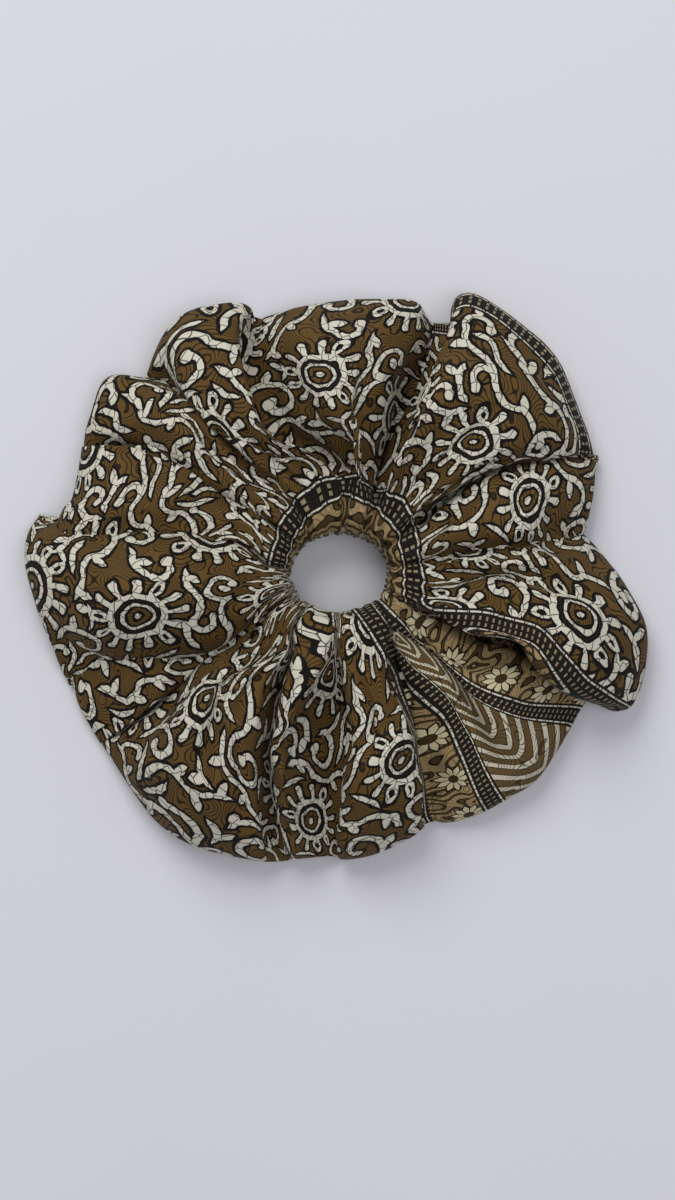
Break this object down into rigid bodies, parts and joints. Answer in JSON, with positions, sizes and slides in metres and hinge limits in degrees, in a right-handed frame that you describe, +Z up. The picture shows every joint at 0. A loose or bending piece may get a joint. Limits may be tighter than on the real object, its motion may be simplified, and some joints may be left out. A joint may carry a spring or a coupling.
{
  "type": "scrunchie",
  "caption": "Oversized cloth scrunchie: a wide gathered printed sleeve on a short ring of flat elastic, with stitched lap, long seam and closing row.",
  "frame": {"origin": "middle of the outline, on the surface that the scrunchie lies on", "axes": "X along the longest width, Y across it, Z up through the hair hole"},
  "size_m": [0.1823, 0.1666, 0.0383],
  "materials": {
    "printed_cloth": "soft matt crepe, brown ground printed with ivory vines and suns outlined in black",
    "woven_elastic": "flat woven elastic, off-white",
    "sewing_thread": "spun polyester thread, dark brown"
  },
  "bodies": {
    "left_half": {"gather_bottom_tuck": "printed_cloth", "gather_bottom_left": "printed_cloth", "gather_left_roll": "printed_cloth", "gather_left_upper": "printed_cloth", "gather_left_ear": "printed_cloth", "gather_top_left": "printed_cloth", "elastic_band": "woven_elastic", "elastic_stitches": "sewing_thread", "seam_thread": "sewing_thread", "closing_stitches": "sewing_thread"},
    "right_half": {"gather_top": "printed_cloth", "gather_top_right": "printed_cloth", "gather_right": "printed_cloth", "gather_right_lower": "printed_cloth", "gather_border_panel": "printed_cloth", "gather_bottom": "printed_cloth"}
  },
  "joints": [
    {"name": "stretch", "type": "slide", "parent": "left_half", "child": "right_half", "axis": [1, 0, 0], "range_m": [0, 0.06], "stiffness_N_per_m": 100, "deforming": ["elastic_band", "seam_thread"]}
  ]
}
